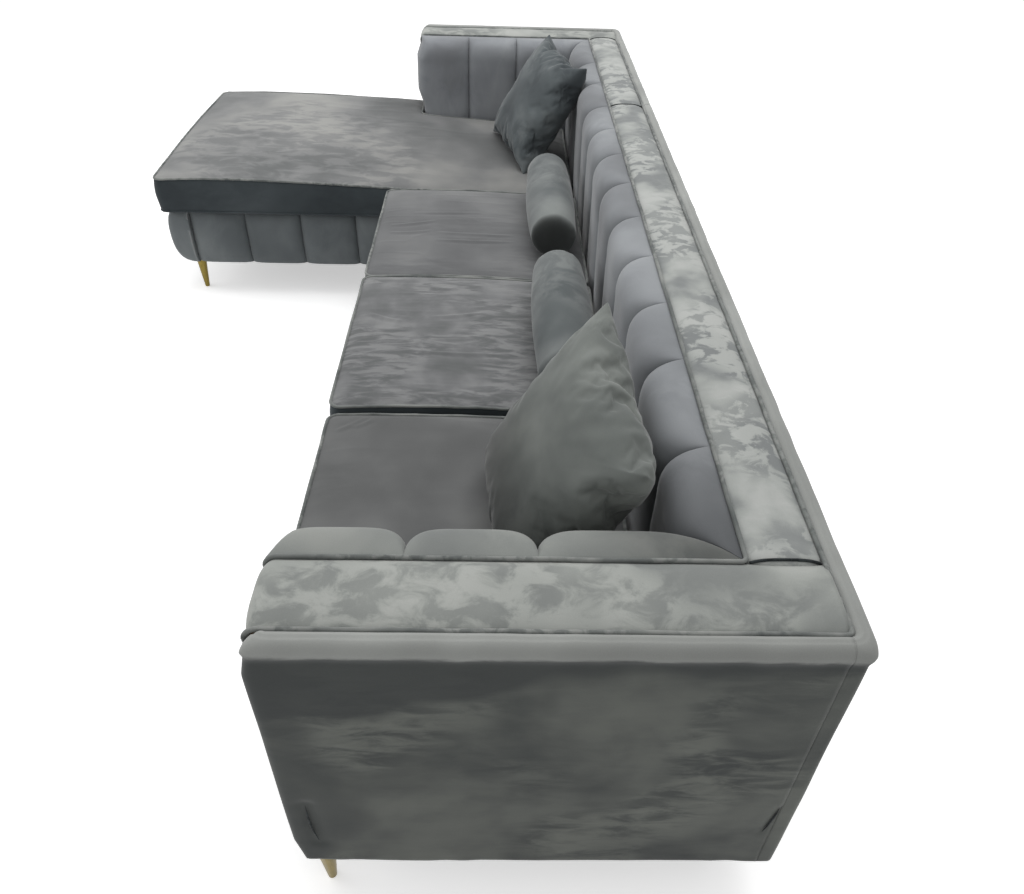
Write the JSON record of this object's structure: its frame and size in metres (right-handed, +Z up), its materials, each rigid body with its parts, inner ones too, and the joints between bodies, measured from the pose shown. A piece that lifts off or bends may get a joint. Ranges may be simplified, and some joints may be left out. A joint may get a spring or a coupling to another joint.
{
  "type": "l-shaped sofa",
  "caption": "Corner sofa: straight seat and chaise modules with channelled velvet pads, piped flat arm caps, loose seat cushions, bolsters and scatter cushions on tapered legs.",
  "frame": {"origin": "on the floor, below the middle of the bounding box", "axes": "+X along the length towards the three-seat end, -Y to the front where people sit down, +Z up"},
  "size_m": [3.08, 1.66, 0.8349],
  "materials": {
    "timber": "sawn softwood",
    "plywood": "thin plywood sheet",
    "webbing": "elastic webbing",
    "decking": "woven decking cloth",
    "dust_cloth": "spun-bonded black dust cloth",
    "velvet_panels": "grey velvet, brushed pile",
    "velvet_channels": "grey velvet over foam channels",
    "velvet_caps": "grey velvet, pile brushed light",
    "velvet_piping": "grey velvet piping",
    "velvet_seats": "grey velvet",
    "velvet_pillows": "grey velvet",
    "foam": "polyurethane foam",
    "fibre_fill": "polyester fibre fill",
    "brass_leg": "brushed brass",
    "black_plastic": "moulded black plastic",
    "steel_plate": "black painted steel",
    "steel_screw": "zinc plated steel"
  },
  "bodies": {
    "frame": {"sofa_long_rails": "timber", "sofa_cross_rails": "timber", "sofa_back_posts": "timber", "sofa_back_top_rail": "timber", "sofa_arm_posts": "timber", "sofa_arm_top_board": "timber", "sofa_panels": "plywood", "chaise_end_rails": "timber", "chaise_side_rails": "timber", "chaise_cross_rails": "timber", "chaise_back_posts": "timber", "chaise_back_top_rail": "timber", "chaise_arm_posts": "timber", "chaise_arm_top_board": "timber", "chaise_panels": "plywood", "corner_blocks": "timber", "sofa_webbing": "webbing", "chaise_webbing": "webbing", "sofa_seat_deck": "decking", "chaise_seat_deck": "decking", "sofa_dust_cover": "dust_cloth", "chaise_dust_cover": "dust_cloth", "sofa_back_cover": "velvet_panels", "sofa_arm_cover": "velvet_panels", "chaise_back_cover": "velvet_panels", "chaise_arm_cover": "velvet_panels", "sofa_back_channels": "velvet_channels", "sofa_arm_channels": "velvet_channels", "sofa_front_channels": "velvet_channels", "chaise_back_channels": "velvet_channels", "chaise_arm_channels": "velvet_channels", "chaise_front_channels": "velvet_channels", "chaise_inner_side_channels": "velvet_channels", "chaise_outer_side_channels": "velvet_channels", "sofa_back_cap": "velvet_caps", "sofa_arm_cap": "velvet_caps", "chaise_back_cap": "velvet_caps", "chaise_arm_cap": "velvet_caps", "cap_piping": "velvet_piping", "front_legs": "brass_leg", "rear_feet": "black_plastic", "leg_plates": "steel_plate", "joining_plates": "steel_plate", "screws": "steel_screw"},
    "seat_cushion_near": {"seat_cover_near": "velvet_seats", "seat_foam_near": "foam"},
    "seat_cushion_middle": {"seat_cover_middle": "velvet_seats", "seat_foam_middle": "foam"},
    "seat_cushion_far": {"seat_cover_far": "velvet_seats", "seat_foam_far": "foam"},
    "chaise_cushion": {"chaise_cushion_cover": "velvet_seats", "chaise_cushion_foam": "foam"},
    "bolster_near": {"bolster_cover_near": "velvet_pillows", "bolster_filling_near": "fibre_fill"},
    "bolster_far": {"bolster_cover_far": "velvet_pillows", "bolster_filling_far": "fibre_fill"},
    "pillow_near": {"pillow_cover_near": "velvet_pillows", "pillow_filling_near": "fibre_fill"},
    "pillow_far": {"pillow_cover_far": "velvet_pillows", "pillow_filling_far": "fibre_fill"}
  },
  "joints": [
    {"name": "lift_seat_near", "type": "slide", "parent": "frame", "child": "seat_cushion_near", "axis": [0, -0.35, 0.9367], "range_m": [0, 0.45]},
    {"name": "lift_seat_middle", "type": "slide", "parent": "frame", "child": "seat_cushion_middle", "axis": [0, -0.35, 0.9367], "range_m": [0, 0.45]},
    {"name": "lift_seat_far", "type": "slide", "parent": "frame", "child": "seat_cushion_far", "axis": [0, -0.35, 0.9367], "range_m": [0, 0.45]},
    {"name": "lift_chaise_cushion", "type": "slide", "parent": "frame", "child": "chaise_cushion", "axis": [0, -0.35, 0.9367], "range_m": [0, 0.45]},
    {"name": "lift_bolster_near", "type": "slide", "parent": "seat_cushion_middle", "child": "bolster_near", "axis": [0, 0, 1], "range_m": [0, 0.3]},
    {"name": "lift_bolster_far", "type": "slide", "parent": "seat_cushion_far", "child": "bolster_far", "axis": [0, 0, 1], "range_m": [0, 0.3]},
    {"name": "lift_pillow_near", "type": "slide", "parent": "seat_cushion_near", "child": "pillow_near", "axis": [0, 0, 1], "range_m": [0, 0.3]},
    {"name": "lift_pillow_far", "type": "slide", "parent": "chaise_cushion", "child": "pillow_far", "axis": [0, 0, 1], "range_m": [0, 0.3]}
  ]
}
